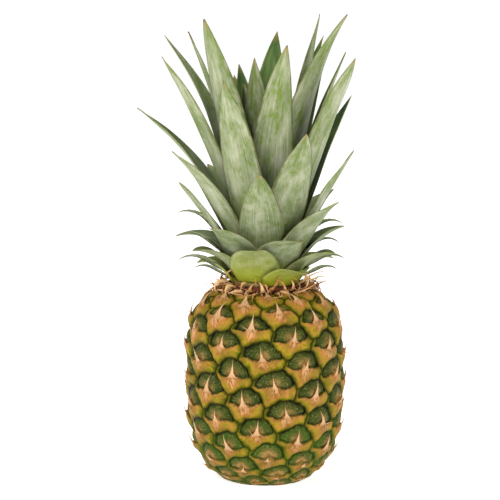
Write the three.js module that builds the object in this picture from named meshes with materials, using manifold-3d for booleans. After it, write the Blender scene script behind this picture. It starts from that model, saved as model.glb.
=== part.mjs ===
// A whole pineapple standing on its base, with its crown of leaves.
// Units are millimetres, +Z is up, and the origin is the middle of the cut stalk that it stands on.
// Azimuths are in degrees: 0 is the side that faces -Y, and they grow towards +X.

import * as THREE from 'three';
import { mergeVertices } from 'three/addons/utils/BufferGeometryUtils.js';
import Module from 'manifold-3d';

const wasm = await Module();
wasm.setup();

// Driving dimensions of the fruit
const BODY_RADIUS = 58.4;         // the rind's mean surface at its widest
const WIDEST_Z = 88;
const TOP_REACH = 60.5;           // from the widest level up to where the rind would close
const BASE_REACH = 96;            // and down, past the flat base
const TOP_CURVE = { rise: 3.7, round: 2.5 };
const BASE_CURVE = { rise: 3.6, round: 2.05 };
const NECK_Z = 144.5;             // the flat that the crown stands on
const STALK_RADIUS = 13;
const STALK_HEIGHT = 9;
const HOLLOW = { mouth: 25, slope: 16, slopeZ: 4, floor: 14.5 };  // the shallow hollow round the stalk
const GAP = 0.3;                  // clearance between pieces that touch

// The eyes sit on one long spiral, which the eye reads as 5, 8 and 13 parallel ones
const EYE_TURN = 137.79;          // degrees from one eye to the next
const EYE_CLIMB = 0.0283;         // height gained per eye, as a share of the local radius
const EYE_AZIMUTH = -1.8;         // of eye 0
const EYE_ZERO_Z = 100;           // height of eye 0
const FIRST_EYE = -80;
const LAST_EYE = 46;
const RIGHT = 8;                  // the neighbour up to the right is 8 eyes on
const LEFT = 13;                  // and the one up to the left is 13 on
const GRID = [0, 0.36, 0.68];     // the facets' edges from an eye's border to the next, as shares

// One eye where the fruit is widest: two domes side by side above its middle, and below it a bract
// with a wing to each side and a dry point that lies up over the cleft between the domes
const TILE = { height: 1.1, groove: 5 };
const DOME = { halfWidth: 12.6, low: -2, high: 11.2, height: 2.6 };
const RELIEF_BELOW = 1.7;         // how far the grooves lie below the mean surface
// Places of an eye that its facets' corners are drawn to: across, up, and the height over the mean surface
const CORNERS = [
  [-6.4, 6, 1.9],                 // the two domes
  [6.4, 6, 1.9],
  [0, 12.6, -1.5],                // the groove above them
  [0, -2, 0.3],                   // beneath the bract
  [-14.6, 5.4, -1.6],             // the grooves beside the domes
  [14.6, 5.4, -1.6],
];
const BRACT = {
  wing: { across: 13.2, up: 2.2, height: -0.2 },
  tail: { up: -12, height: -1 },
  shoulder: { across: 3.2, up: 1, height: 1.9 },
  keel: { up: -3.6, height: 2.2 },
  point: { up: 9.8, height: 3.2, sideways: 3 },
  root: { across: 9, up: 0, tail: -8, height: -3 },
};
const BRACTS_ABOVE = 6;           // the lowest eyes, crowded round the base, have none
const BRACTS_BELOW_NECK = 3;

// Crown
const STEM = { foot: NECK_Z + GAP, bottom: 26.5, waist: 12.2, top: 2.4, waistHeight: 38, height: 51 };
const LEAF_COUNT = 54;
const LEAF_TURN = -137.508;
const LEAF_AZIMUTH = 35.1;        // of the lowest leaf
const LOWEST_LEAF_Z = NECK_Z + 5.4;
const HIGHEST_LEAF_Z = NECK_Z + 49;
const LEAF_SEED = 7;
const HIDDEN_LEAVES = 0.8;        // past this share of the way up they stand inside the others
const BEND_POWER = 1.6;           // a leaf bends little near its root and more towards its tip
const ROOT_WIDTH = 0.84;          // of a leaf's root, as a share of its greatest width
const TIP_FULLNESS = 2.1;         // how long a leaf stays broad before it narrows to its tip
const MOST_WRAP = 0.7;            // radians that half a leaf may reach round the axis
const ROOT_PLAY = 0.2;            // room between the stem and a leaf's root, besides the gap
const EDGE_THICKNESS = 0.7;
const RIB_THICKNESS = 1.3;
// How a leaf changes from the lowest (at 0) to the innermost (at 1): the lean is from the vertical at its root,
// and the bend is what its tip adds to it
const LEAF_STAGES = [
  { at: 0.00, length: 31, width: 43, lean: 33, bend: 84, widest: 0.18 },
  { at: 0.15, length: 46, width: 42, lean: 31, bend: 66, widest: 0.18 },
  { at: 0.25, length: 62, width: 38, lean: 29, bend: 46, widest: 0.20 },
  { at: 0.33, length: 92, width: 35, lean: 26, bend: 32, widest: 0.24 },
  { at: 0.40, length: 120, width: 32, lean: 22, bend: 26, widest: 0.28 },
  { at: 0.46, length: 146, width: 31, lean: 18, bend: 23, widest: 0.32 },
  { at: 0.56, length: 168, width: 30, lean: 13, bend: 19, widest: 0.34 },
  { at: 0.66, length: 166, width: 28, lean: 9, bend: 16, widest: 0.35 },
  { at: 0.74, length: 146, width: 27, lean: 7, bend: 12, widest: 0.35 },
  { at: 0.85, length: 112, width: 25, lean: 5, bend: 9, widest: 0.36 },
  { at: 1.00, length: 76, width: 21, lean: 2, bend: 6, widest: 0.36 },
];
// Leaves that grew otherwise than the rule, by their number from the lowest: longer or shorter by a factor,
// bent more or less and swayed aside in degrees, or broader by a factor
const LEAF_HABITS = {
  2: { sway: 15 },
  3: { sway: -20 },
  4: { stretch: 1.3, bend: -44, sway: 10 },
  9: { stretch: 1.3, bend: -22, sway: 8 },
  10: { stretch: 1.15, sway: 25 },
  11: { bend: -14, sway: -18 },
  12: { bend: -10 },
  14: { stretch: 1.18, bend: -24, sway: 8 },
  15: { stretch: 1.2, bend: -30, sway: 22 },
  17: { stretch: 1.16, bend: -18 },
  19: { stretch: 1.06, bend: -22, sway: -6 },
  20: { stretch: 1.04, bend: -4 },
  22: { sway: -6, widen: 1.12 },
  23: { stretch: 1.14, bend: 4, sway: 32 },
  24: { stretch: 0.97, bend: -14, widen: 1.1 },
  25: { stretch: 1.09, sway: 3, widen: 1.06 },
  27: { stretch: 1.12, sway: -12, widen: 1.1 },
  28: { stretch: 1.04, sway: 14, widen: 1.2 },
  29: { stretch: 0.94 },
  30: { stretch: 1.05, sway: 3, widen: 1.1 },
  31: { stretch: 1.02, sway: 40 },
  32: { stretch: 0.9, bend: -4 },
  33: { stretch: 1.13, sway: 12, widen: 1.22 },
  34: { sway: -8, widen: 1.2 },
  35: { stretch: 1.1, bend: 3, sway: 16, widen: 1.08 },
  36: { stretch: 0.97, sway: 15 },
  38: { stretch: 0.92 },
  39: { stretch: 0.86 },
  40: { stretch: 1.2, bend: -5, sway: -14 },
  41: { stretch: 1.1 },
};

// Dry bracts round the neck
const COLLAR = { inner: 27.2, outer: 29.4, bottom: NECK_Z + 0.5, top: NECK_Z + 3.6 };
const DRY_BRACTS = 26;
const DRY_SEED = 3;
const DRY_BRACT = { root: 28.2, width: 8.5, thick: 0.9, shortest: 8, longest: 14, rings: 3 };
const DRY_LEAN = { least: 52, most: 80 };       // from the vertical, in degrees
const DRY_CURL = { down: -50, up: 62 };         // what its tip adds to that
const DRY_SWAY = { place: 4, twist: 9 };        // how far its root and tip stray sideways

const rad = THREE.MathUtils.degToRad;
const mix = THREE.MathUtils.lerp;

// A repeatable random number from 0 to 1
function seeded(seed) {
  let state = seed * 7919 + 17;
  return () => {
    state = (state * 1103515245 + 12345) % 2147483648;
    return state / 2147483648;
  };
}

function toSolid(geometry) {
  const bare = geometry.index ? geometry.toNonIndexed() : geometry.clone();
  bare.deleteAttribute('normal');
  bare.deleteAttribute('uv');
  const merged = mergeVertices(bare, 1e-4);
  return new wasm.Manifold(new wasm.Mesh({
    numProp: 3,
    vertProperties: merged.attributes.position.array,
    triVerts: new Uint32Array(merged.index.array),
  }));
}

function toGeometry(solid) {
  const mesh = solid.getMesh();
  const geometry = new THREE.BufferGeometry();
  geometry.setAttribute('position', new THREE.BufferAttribute(mesh.vertProperties, 3));
  geometry.setIndex(new THREE.BufferAttribute(mesh.triVerts, 1));
  geometry.computeVertexNormals();
  return geometry;
}

// The whole body of a solid, with any sealed pocket in it filled and any loose scrap left off
function wholeBody(solid) {
  return solid.decompose().reduce((best, piece) => (piece.volume() > best.volume() ? piece : best));
}

// Keeps what lies between two heights
function between(solid, low, high) {
  const size = 400;
  const below = new THREE.BoxGeometry(size, size, size).translate(0, 0, low - size / 2);
  const above = new THREE.BoxGeometry(size, size, size).translate(0, 0, high + size / 2);
  return solid.subtract(toSolid(below)).subtract(toSolid(above));
}

function indexed(points, faces) {
  const geometry = new THREE.BufferGeometry();
  geometry.setAttribute('position', new THREE.Float32BufferAttribute(points.flat(), 3));
  geometry.setIndex(faces.flat());
  return geometry;
}

// A point at a radius, an azimuth in radians and a height
function polar(radius, azimuth, z) {
  return [radius * Math.sin(azimuth), -radius * Math.cos(azimuth), z];
}

// The rind's mean radius at a height: two superellipses that meet at the widest level
function bodyRadius(z) {
  const above = z > WIDEST_Z;
  const share = Math.min(1, Math.abs(z - WIDEST_Z) / (above ? TOP_REACH : BASE_REACH));
  const curve = above ? TOP_CURVE : BASE_CURVE;
  return BODY_RADIUS * (1 - share ** curve.rise) ** (1 / curve.round);
}

// Walks the rind's outline from the base to the neck. Each step holds the climb so far: the length walked,
// each bit of it divided by the radius there. Equal climbs keep the eyes' shape as the fruit narrows.
function walkOutline() {
  const steps = [];
  const low = WIDEST_Z - BASE_REACH * 0.9995;
  const high = WIDEST_Z + TOP_REACH * 0.9995;
  const count = 4000;
  let climb = 0;
  for (let i = 0; i <= count; i++) {
    const z = WIDEST_Z - Math.cos((Math.PI * i) / count) * (high - WIDEST_Z);
    const level = z < WIDEST_Z ? WIDEST_Z - ((WIDEST_Z - z) / (high - WIDEST_Z)) * (WIDEST_Z - low) : z;
    const radius = bodyRadius(level);
    if (i > 0) {
      const last = steps[i - 1];
      const length = Math.hypot(level - last.z, radius - last.radius);
      climb += length / ((radius + last.radius) / 2);
    }
    steps.push({ z: level, radius, climb });
  }
  return steps;
}

const outline = walkOutline();
const climbAt = (z) => outline.find((step) => step.z >= z).climb;
const zeroClimb = climbAt(EYE_ZERO_Z);

// The outline at a climb: its height, radius and outward normal
function outlineAt(climb) {
  let low = 0;
  let high = outline.length - 1;
  while (high - low > 1) {
    const middle = (low + high) >> 1;
    if (outline[middle].climb <= climb) low = middle;
    else high = middle;
  }
  const a = outline[low];
  const b = outline[high];
  const share = THREE.MathUtils.clamp((climb - a.climb) / (b.climb - a.climb), 0, 1);
  const run = b.z - a.z;
  const spread = b.radius - a.radius;
  const length = Math.hypot(run, spread);
  return {
    z: mix(a.z, b.z, share),
    radius: mix(a.radius, b.radius, share),
    outR: run / length,
    outZ: -spread / length,
  };
}

function skinPoint(azimuth, climb, height) {
  const at = outlineAt(climb);
  return polar(at.radius + at.outR * height, azimuth, at.z + at.outZ * height);
}

// Where eye k sits: its azimuth in radians and its climb
function eyeAt(k) {
  return { azimuth: rad(EYE_AZIMUTH + k * EYE_TURN), climb: zeroClimb + k * EYE_CLIMB };
}

// From an eye to the neighbour that is a number of eyes on, the short way round
function stepTo(count) {
  const turn = rad(count * EYE_TURN);
  return { across: turn - 2 * Math.PI * Math.round(turn / (2 * Math.PI)), up: count * EYE_CLIMB };
}

const NEIGHBOURS = [0, 5, 8, 13, 21, -5, -8, -13, -21, 3, -3].map(stepTo);

// A rounded mound: 1 in the middle, 0 at the rim
function mound(across, up) {
  return Math.max(0, 1 - Math.abs(across) ** 2.6 - Math.abs(up) ** 2.6) ** 0.5;
}

// How high an eye's domes stand above its tile at a place near it
function domeHeight(across, up) {
  const middle = (DOME.low + DOME.high) / 2;
  return DOME.height * mound(across / DOME.halfWidth, (up - middle) / (DOME.high - middle));
}

// The rind's height over its mean surface at a place near an eye: a tile with a groove at its border,
// where two eyes are equally far, and the domes on it
function relief(across, up) {
  let nearest = Infinity;
  let next = Infinity;
  let height = 0;
  for (const at of NEIGHBOURS) {
    const [dx, dy] = [across - at.across, up - at.up].map((share) => share * BODY_RADIUS);
    const distance = Math.hypot(dx, dy);
    if (distance < nearest) [nearest, next] = [distance, nearest];
    else if (distance < next) next = distance;
    height = Math.max(height, domeHeight(dx, dy));
  }
  const border = Math.min(1, (next - nearest) / TILE.groove);
  return TILE.height * border + height - RELIEF_BELOW;
}

// Closes each open edge loop of a mesh with a fan to one point on the axis
function capLoops(points, faces) {
  const next = new Map();
  const twin = new Set(faces.flatMap(([a, b, c]) => [`${a},${b}`, `${b},${c}`, `${c},${a}`]));
  for (const [a, b, c] of faces) {
    for (const [from, to] of [[a, b], [b, c], [c, a]]) {
      if (!twin.has(`${to},${from}`)) next.set(to, from);
    }
  }
  while (next.size) {
    const loop = [];
    let at = next.keys().next().value;
    while (next.has(at)) {
      loop.push(at);
      const onward = next.get(at);
      next.delete(at);
      at = onward;
    }
    const z = loop.reduce((sum, i) => sum + points[i][2], 0) / loop.length;
    const pole = points.push([0, 0, z]) - 1;
    loop.forEach((from, i) => faces.push([from, loop[(i + 1) % loop.length], pole]));
  }
}

// The corners of one eye's facets: an even grid from its border to the next eye's, with the corner nearest
// to each named place drawn to it
function eyeCorners() {
  const right = stepTo(RIGHT);
  const left = stepTo(LEFT);
  const corners = GRID.map((p) => GRID.map((q) => {
    const across = right.across * (p - 0.5) + left.across * (q - 0.5);
    const up = right.up * (p - 0.5) + left.up * (q - 0.5);
    return { across, up, height: relief(across, up), free: true };
  }));
  for (const [x, y, height] of CORNERS) {
    let best = { distance: Infinity };
    for (const corner of corners.flat().filter(({ free }) => free)) {
      for (const at of NEIGHBOURS) {
        const across = x / BODY_RADIUS + at.across;
        const up = y / BODY_RADIUS + at.up;
        const distance = Math.hypot(corner.across - across, corner.up - up);
        if (distance < best.distance) best = { corner, across, up, distance };
      }
    }
    Object.assign(best.corner, { across: best.across, up: best.up, height, free: false });
  }
  return corners;
}

// The rind: a grid that follows the spirals, so that each eye gets the same facets
function rindSolid() {
  const points = [];
  const faces = [];
  const found = new Map();
  const corners = eyeCorners();
  const count = GRID.length;
  function vertex(k, i, j) {
    const eye = k + (i === count ? RIGHT : 0) + (j === count ? LEFT : 0);
    const key = `${eye},${i % count},${j % count}`;
    if (!found.has(key)) {
      const { across, up, height } = corners[i % count][j % count];
      const at = eyeAt(eye);
      found.set(key, points.push(skinPoint(at.azimuth + across, at.climb + up, height)) - 1);
    }
    return found.get(key);
  }
  for (let k = FIRST_EYE; k <= LAST_EYE; k++) {
    for (let i = 0; i < count; i++) {
      for (let j = 0; j < count; j++) {
        const [a, b, c, d] = [vertex(k, i, j), vertex(k, i + 1, j), vertex(k, i + 1, j + 1), vertex(k, i, j + 1)];
        faces.push([a, b, d], [b, c, d]);
      }
    }
  }
  capLoops(points, faces);
  return toSolid(indexed(points, faces));
}

// The bract of an eye: a keeled shield whose top edge runs from wing to wing and rises to a dry point
function bractSolid(k) {
  const eye = eyeAt(k);
  const scale = outlineAt(eye.climb).radius / BODY_RADIUS;
  const place = (across, up, height) => (
    skinPoint(eye.azimuth + across / BODY_RADIUS, eye.climb + up / BODY_RADIUS, height * mix(scale, 1, 0.4))
  );
  const { wing, tail, shoulder, keel, point, root } = BRACT;
  const points = [
    place(-wing.across, wing.up, wing.height),
    place(wing.across, wing.up, wing.height),
    place(0, tail.up, tail.height),
    place(-shoulder.across, shoulder.up, shoulder.height),
    place(shoulder.across, shoulder.up, shoulder.height),
    place(0, keel.up, keel.height),
    place(point.sideways * Math.sin(k * 2.4), point.up, point.height),
    place(-root.across, root.up, root.height),
    place(root.across, root.up, root.height),
    place(0, root.tail, root.height),
  ];
  const [leftWing, rightWing, end, left, right, ridge, tip, leftRoot, rightRoot, endRoot] = points.keys();
  return toSolid(indexed(points, [
    [leftWing, end, ridge], [end, rightWing, ridge], [leftWing, ridge, left],
    [ridge, rightWing, right], [left, ridge, tip], [ridge, right, tip],
    [end, leftWing, leftRoot], [end, leftRoot, endRoot],
    [rightWing, end, endRoot], [rightWing, endRoot, rightRoot],
    [right, rightWing, rightRoot], [tip, right, rightRoot], [tip, rightRoot, leftRoot],
    [left, tip, leftRoot], [leftWing, left, leftRoot], [leftRoot, rightRoot, endRoot],
  ]));
}

function fruitGeometry() {
  let solid = between(rindSolid(), 0, NECK_Z);
  for (let k = FIRST_EYE; k <= LAST_EYE; k++) {
    const z = outlineAt(eyeAt(k).climb).z;
    if (z > BRACTS_ABOVE && z < NECK_Z - BRACTS_BELOW_NECK) solid = solid.add(bractSolid(k));
  }
  const { mouth, slope, slopeZ, floor } = HOLLOW;
  const top = STALK_HEIGHT + GAP;
  const hollow = [[0, -5], [mouth, -5], [mouth, 0], [slope, slopeZ], [floor, top], [0, top]];
  const cut = new THREE.LatheGeometry(hollow.map(([r, y]) => new THREE.Vector2(r, y)), 24).rotateX(Math.PI / 2);
  return toGeometry(wholeBody(solid.subtract(toSolid(cut))));
}

// The stub of the stalk that the fruit was cut from, with its fibrous end
function stalkGeometry() {
  const profile = [[0, 0], [STALK_RADIUS - 0.8, 0], [STALK_RADIUS, 0.8], [STALK_RADIUS - 0.7, STALK_HEIGHT], [0, STALK_HEIGHT]];
  const geometry = new THREE.LatheGeometry(profile.map(([r, y]) => new THREE.Vector2(r, y)), 28);
  return geometry.rotateX(Math.PI / 2);
}

// The crown's own stem, which narrows upwards between the leaf roots
function stemRadius(z) {
  const { foot, bottom, waist, top, waistHeight, height } = STEM;
  const up = z - foot;
  return up < waistHeight
    ? mix(bottom, waist, up / waistHeight)
    : mix(waist, top, (up - waistHeight) / (height - waistHeight));
}

function stemGeometry() {
  const { foot, bottom, waist, top, waistHeight, height } = STEM;
  const profile = [[0, 0], [bottom, 0], [waist, waistHeight], [top, height], [top * 0.5, height + 3], [0, height + 4]];
  const geometry = new THREE.LatheGeometry(profile.map(([r, y]) => new THREE.Vector2(r, y)), 24);
  return geometry.rotateX(Math.PI / 2).translate(0, 0, foot);
}

function stageAt(share) {
  const i = Math.max(1, LEAF_STAGES.findIndex((stage) => stage.at >= share));
  const [a, b] = [LEAF_STAGES[i - 1], LEAF_STAGES[i]];
  const t = (share - a.at) / (b.at - a.at);
  return Object.fromEntries(Object.keys(a).map((key) => [key, mix(a[key], b[key], t)]));
}

// A leaf is a patch of a bell that is round about the axis. Each leaf has a bell of its own,
// one inside the next, so no leaf meets another however wide it is.
function bladeGeometry({ azimuth, rootRadius, rootZ, length, reach, width, lean, bend, widest, sway, rings }) {
  const points = [];
  const faces = [];
  const columns = 5;
  const ring = 2 * columns;
  const fine = 400;
  let r = rootRadius;
  let z = rootZ;
  let walked = 0;
  for (let j = 0; j <= rings; j++) {
    const u = (j / rings) ** 1.15;
    const steps = Math.max(1, Math.round(fine / rings));
    const stretch = (u * length - walked) / steps;
    for (let i = 0; i < steps && stretch > 0; i++) {
      const angle = rad(lean + bend * ((walked + stretch / 2) / reach) ** BEND_POWER);
      r += Math.sin(angle) * stretch;
      z += Math.cos(angle) * stretch;
      walked += stretch;
    }
    const angle = rad(lean + bend * (walked / reach) ** BEND_POWER);
    const middle = rad(azimuth + sway * u * u);
    if (j === rings) {
      points.push(polar(r, middle, z));
      break;
    }
    const past = (u - widest) / (1 - widest);
    const shape = past > 0 ? 1 - past ** TIP_FULLNESS : mix(ROOT_WIDTH, 1, Math.sin((Math.PI / 2) * (u / widest)));
    const half = Math.min((width / 2) * shape, MOST_WRAP * r);
    for (const side of [1, -1]) {
      for (let i = 0; i < columns; i++) {
        const share = side * (1 - (2 * i) / (columns - 1));
        const thick = mix(RIB_THICKNESS, EDGE_THICKNESS, Math.abs(share) + u * (1 - Math.abs(share)));
        const out = (side * thick) / 2;
        const radius = r + Math.cos(angle) * out;
        points.push(polar(radius, middle + (share * half) / r, z - Math.sin(angle) * out));
      }
    }
  }
  for (let j = 0; j < rings - 1; j++) {
    for (let i = 0; i < ring; i++) {
      const [a, b] = [j * ring + i, j * ring + ((i + 1) % ring)];
      faces.push([a, a + ring, b], [b, a + ring, b + ring]);
    }
  }
  const last = (rings - 1) * ring;
  for (let i = 0; i < ring; i++) faces.push([last + i, points.length - 1, last + ((i + 1) % ring)]);
  for (let i = 0; i < columns - 1; i++) {
    const [a, b, c, d] = [i, i + 1, ring - 2 - i, ring - 1 - i];
    faces.push([a, b, d], [b, c, d]);
  }
  return indexed(points, faces);
}

function leafGeometry(k) {
  const share = k / (LEAF_COUNT - 1);
  const stage = stageAt(share);
  const { stretch = 1, bend = 0, sway = 0, widen = 1 } = LEAF_HABITS[k + 1] ?? {};
  const random = seeded(LEAF_SEED + k);
  const rootZ = mix(LOWEST_LEAF_Z, HIGHEST_LEAF_Z, share);
  return bladeGeometry({
    azimuth: LEAF_AZIMUTH + k * LEAF_TURN,
    rootRadius: stemRadius(rootZ) + GAP + RIB_THICKNESS / 2 + ROOT_PLAY,
    rootZ,
    length: stage.length * stretch * mix(0.97, 1.03, random()),
    reach: stage.length,
    width: stage.width * widen,
    lean: stage.lean,
    bend: stage.bend + bend,
    widest: stage.widest,
    sway: sway + mix(-4, 4, random()),
    rings: stage.length < 60 || share > HIDDEN_LEAVES ? 5 : 6,
  });
}

// One dry bract of the neck: a thin point that leaves the collar outwards and curls up or down
function dryBractSolid(k) {
  const random = seeded(DRY_SEED + k);
  const azimuth = rad((k * 360) / DRY_BRACTS + mix(-DRY_SWAY.place, DRY_SWAY.place, random()));
  const length = mix(DRY_BRACT.shortest, DRY_BRACT.longest, random());
  const lean = mix(DRY_LEAN.least, DRY_LEAN.most, random());
  const curl = mix(DRY_CURL.down, DRY_CURL.up, random());
  const twist = rad(mix(-DRY_SWAY.twist, DRY_SWAY.twist, random()));
  const { rings } = DRY_BRACT;
  const points = [];
  const faces = [];
  let r = DRY_BRACT.root;
  let z = mix(COLLAR.bottom + 1, COLLAR.top - 1, random());
  for (let j = 0; j < rings; j++) {
    const u = j / rings;
    const angle = rad(lean - curl * u);
    const half = (DRY_BRACT.width / 2) * (1 - u) ** 0.8;
    const middle = azimuth + twist * u;
    for (const side of [1, -1]) {
      const out = (side * DRY_BRACT.thick) / 2;
      for (const share of [-side, side]) {
        points.push(polar(r + Math.cos(angle) * out, middle + (share * half) / r, z - Math.sin(angle) * out));
      }
    }
    r += (Math.sin(angle) * length) / rings;
    z += (Math.cos(angle) * length) / rings;
  }
  points.push(polar(r, azimuth + twist, z));
  for (let j = 0; j < rings - 1; j++) {
    for (let i = 0; i < 4; i++) {
      const [a, b] = [j * 4 + i, j * 4 + ((i + 1) % 4)];
      faces.push([a, b, a + 4], [b, b + 4, a + 4]);
    }
  }
  const last = (rings - 1) * 4;
  for (let i = 0; i < 4; i++) faces.push([last + i, last + ((i + 1) % 4), last + 4]);
  faces.push([0, 3, 1], [1, 3, 2]);
  return toSolid(indexed(points, faces));
}

function dryBractsGeometry() {
  const { inner, outer, bottom, top } = COLLAR;
  const ring = [[inner, bottom], [outer, bottom], [outer - 0.6, top], [inner, top], [inner, bottom]];
  const geometry = new THREE.LatheGeometry(ring.map(([r, y]) => new THREE.Vector2(r, y)), 36);
  let solid = toSolid(geometry.rotateX(Math.PI / 2));
  for (let k = 0; k < DRY_BRACTS; k++) solid = solid.add(dryBractSolid(k));
  const keepOut = new THREE.CylinderGeometry(COLLAR.inner, COLLAR.inner, 60, 36).rotateX(Math.PI / 2);
  solid = solid.subtract(toSolid(keepOut.translate(0, 0, NECK_Z)));
  return toGeometry(wholeBody(solid));
}

const materials = {
  rind: new THREE.MeshStandardMaterial({ color: '#6f7a2e', roughness: 0.6 }),
  stalk: new THREE.MeshStandardMaterial({ color: '#b89a68', roughness: 0.85 }),
  leaf: new THREE.MeshStandardMaterial({ color: '#8ea278', roughness: 0.55, side: THREE.DoubleSide }),
  stem: new THREE.MeshStandardMaterial({ color: '#c9c873', roughness: 0.7 }),
  dry: new THREE.MeshStandardMaterial({ color: '#8a5a35', roughness: 0.85 }),
};

const pineapple = new THREE.Group();

function addPiece(name, geometry, material) {
  const mesh = new THREE.Mesh(geometry, material);
  mesh.name = name;
  pineapple.add(mesh);
}

addPiece('fruit', fruitGeometry(), materials.rind);
addPiece('cut_stalk', stalkGeometry(), materials.stalk);
addPiece('crown_stem', stemGeometry(), materials.stem);
addPiece('dry_neck_bracts', dryBractsGeometry(), materials.dry);
for (let k = 0; k < LEAF_COUNT; k++) {
  addPiece(`leaf_${String(k + 1).padStart(2, '0')}`, leafGeometry(k), materials.leaf);
}

export default pineapple;
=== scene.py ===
# %% [markdown]
# # A pineapple standing on its base
# The solids of the pineapple come in as a fixed frame. This script keeps their place and size, and gives
# each of them its real surface: the eyes of the rind, the dry points of the bracts, the crown of leaves.

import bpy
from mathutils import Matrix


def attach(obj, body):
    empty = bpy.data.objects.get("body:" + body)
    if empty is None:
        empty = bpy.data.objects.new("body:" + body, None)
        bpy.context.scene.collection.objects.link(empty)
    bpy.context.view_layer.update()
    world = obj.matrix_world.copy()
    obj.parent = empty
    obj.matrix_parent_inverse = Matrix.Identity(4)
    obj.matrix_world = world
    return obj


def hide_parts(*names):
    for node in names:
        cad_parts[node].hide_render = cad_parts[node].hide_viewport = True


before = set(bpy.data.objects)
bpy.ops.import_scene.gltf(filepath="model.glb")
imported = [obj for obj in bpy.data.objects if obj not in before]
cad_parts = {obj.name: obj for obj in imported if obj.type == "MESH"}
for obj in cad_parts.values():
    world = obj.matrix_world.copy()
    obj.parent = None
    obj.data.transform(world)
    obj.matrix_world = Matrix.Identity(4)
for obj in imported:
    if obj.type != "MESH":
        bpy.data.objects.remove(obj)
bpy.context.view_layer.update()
print("solids in the frame:", len(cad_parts))

# %% [markdown]
# ## How the pieces are made
# A plant grows one form again and again. So each form is modelled once with Blender's own tools, and its
# copies are placed and bent by a rule. The helpers turn points and faces into a smooth piece, join copies,
# and hang each piece under the root, hiding any solids that it takes the place of.

# %% Helpers for the pieces
import math
import random

import bpy
import numpy as np
from mathutils import Vector

MM = 0.001


def select_only(*objects):
    if bpy.context.object and bpy.context.object.mode != "OBJECT":
        bpy.ops.object.mode_set(mode="OBJECT")
    bpy.ops.object.select_all(action="DESELECT")
    for piece in objects:
        piece.select_set(True)
    if objects:
        bpy.context.view_layer.objects.active = objects[0]


def make_piece(name, points, faces, marks, merge=0.005):
    """A smooth mesh from points in mm. Each mark has a number for every point. Doubled points are merged."""
    mesh = bpy.data.meshes.new(name)
    mesh.from_pydata((np.asarray(points) * MM).tolist(), [], faces)
    for mark, values in marks.items():
        layer = mesh.attributes.new(mark, "FLOAT", "POINT")
        layer.data.foreach_set("value", np.asarray(values, dtype=np.float32))
    piece = bpy.data.objects.new(name, mesh)
    bpy.context.collection.objects.link(piece)
    select_only(piece)
    bpy.ops.object.mode_set(mode="EDIT")
    bpy.ops.mesh.select_all(action="SELECT")
    bpy.ops.mesh.remove_doubles(threshold=merge * MM)
    bpy.ops.mesh.delete_loose(use_verts=True, use_edges=False, use_faces=False)
    bpy.ops.object.mode_set(mode="OBJECT")
    bpy.ops.object.shade_smooth()
    return piece


def taken(part):
    """The points and faces of a part that was modelled for its copies. The part itself is removed."""
    points = np.array([v.co[:] for v in part.data.vertices])
    faces = [tuple(p.vertices) for p in part.data.polygons]
    bpy.data.objects.remove(part)
    return points, faces


def shifted(faces, start):
    return [tuple(i + start for i in face) for face in faces]


def joined(copies, copy_faces):
    """Points, faces and marks of many copies of one form. Each copy is its points and its marks."""
    count = len(copies[0][0])
    faces = [face for n in range(len(copies)) for face in shifted(copy_faces, n * count)]
    marks = {name: np.concatenate([np.broadcast_to(marks[name], count) for _, marks in copies])
             for name in copies[0][1]}
    return np.concatenate([points for points, _ in copies]), faces, marks


def belongs(piece, slot, *nodes):
    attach(piece, "root")
    if nodes:
        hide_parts(*nodes)

# %% [markdown]
# ## The camera
# The photograph looks at the fruit from a little above its middle and hardly shows perspective. So the
# camera stands far off, and its lens follows from the width of the view.

# %% Camera
EYE_LEVEL = math.radians(8)
CAMERA_DISTANCE = 1.73
VIEW_WIDTH = 0.375
SENSOR_MM = 36
LOOK_AT = Vector((-11.2 * MM, 0, 173.5 * MM))

bpy.ops.object.camera_add()
camera = bpy.context.object
camera.location = LOOK_AT + Vector((0, -math.cos(EYE_LEVEL), math.sin(EYE_LEVEL))) * CAMERA_DISTANCE
camera.rotation_euler = (math.pi / 2 - EYE_LEVEL, 0, 0)
camera.data.sensor_width = SENSOR_MM
camera.data.lens = SENSOR_MM * CAMERA_DISTANCE / VIEW_WIDTH
bpy.context.scene.camera = camera
print("lens, mm:", round(camera.data.lens))

# %% [markdown]
# ## The floor and the light
# The light is soft, as in a white tent. It comes from the front, above and left. Four large
# lamps and a grey sky give it, and the floor is plain white, so that only the pineapple has a colour of its
# own.

# %% Floor and light
FLOOR_SIZE = 60
LIT_POINT = Vector((0, 0, 0.17))
SKY_STRENGTH = 0.37
# name, place and size in metres, watts
LAMPS = [
    ("key_light", (-0.8, -1.5, 1.5), 0.6, 22.5),
    ("fill_light", (1.3, -1.2, 0.7), 1.0, 18),
    ("side_light", (-1.6, -0.7, 0.5), 1.0, 11),
    ("top_light", (0.1, 0.6, 1.7), 0.8, 12),
]

select_only()
bpy.ops.mesh.primitive_plane_add(size=FLOOR_SIZE)
floor = bpy.context.object
floor.name = "floor"

for name, place, size, power in LAMPS:
    bpy.ops.object.light_add(type="AREA", location=place)
    lamp = bpy.context.object
    lamp.name = name
    lamp.data.size = size
    lamp.data.energy = power
    lamp.rotation_euler = (LIT_POINT - Vector(place)).to_track_quat("-Z", "Y").to_euler()
world = bpy.data.worlds.new("studio")
world.use_nodes = True
background = world.node_tree.nodes["Background"]
background.inputs["Color"].default_value = (1, 1, 1, 1)
background.inputs["Strength"].default_value = SKY_STRENGTH
bpy.context.scene.world = world
bpy.context.scene.view_settings.view_transform = "Standard"
print("lamps:", len(LAMPS))

# %% [markdown]
# ## Colours and nodes
# Colours are picked as sRGB hex values, and Blender's shaders work in linear light, so one function turns
# one into the other. A second one adds a node with its settings and links. The others start a material, lay
# layers of colour over a ground, and put the finished material on its pieces.

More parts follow.
